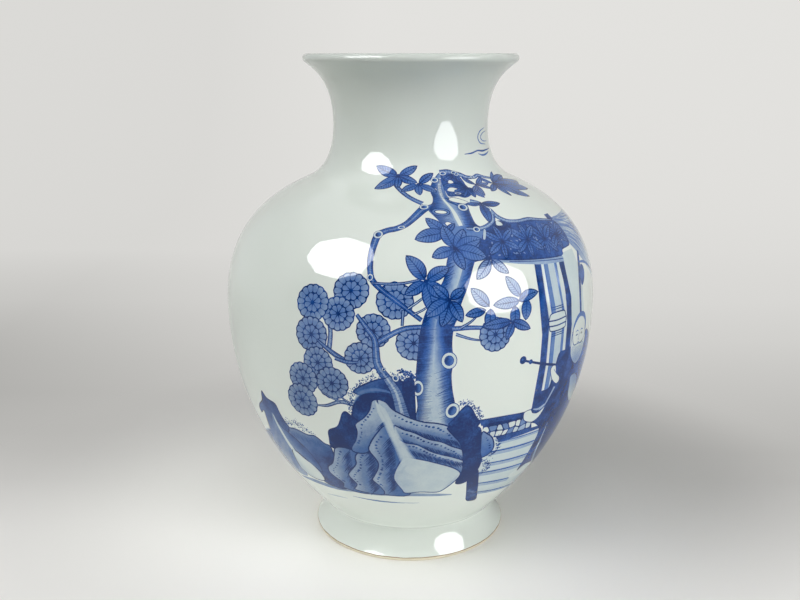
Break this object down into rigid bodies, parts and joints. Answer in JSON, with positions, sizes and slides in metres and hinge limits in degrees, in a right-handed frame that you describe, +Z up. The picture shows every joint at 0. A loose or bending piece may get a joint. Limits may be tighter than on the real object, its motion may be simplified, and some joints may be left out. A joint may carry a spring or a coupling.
{
  "type": "zun vase",
  "caption": "Zun-form porcelain vase with a flared mouth, waisted neck, full shoulder and splayed foot ring, painted in cobalt blue under a clear glaze.",
  "frame": {"origin": "centre of the foot ring's resting face, on the vase's axis", "axes": "+Z up along the vase's axis, -Y towards the painted front"},
  "size_m": [0.2272, 0.2272, 0.3],
  "materials": {
    "glazed_porcelain": "clear feldspathic glaze, glossy, over cobalt painting",
    "porcelain_slip": "fired porcelain slip, fine and matt"
  },
  "bodies": {
    "root": {"foot_ring": "glazed_porcelain", "foot_lute": "porcelain_slip", "lower_body": "glazed_porcelain", "waist_lute": "porcelain_slip", "upper_body": "glazed_porcelain", "neck_lute": "porcelain_slip", "neck": "glazed_porcelain"}
  },
  "joints": []
}
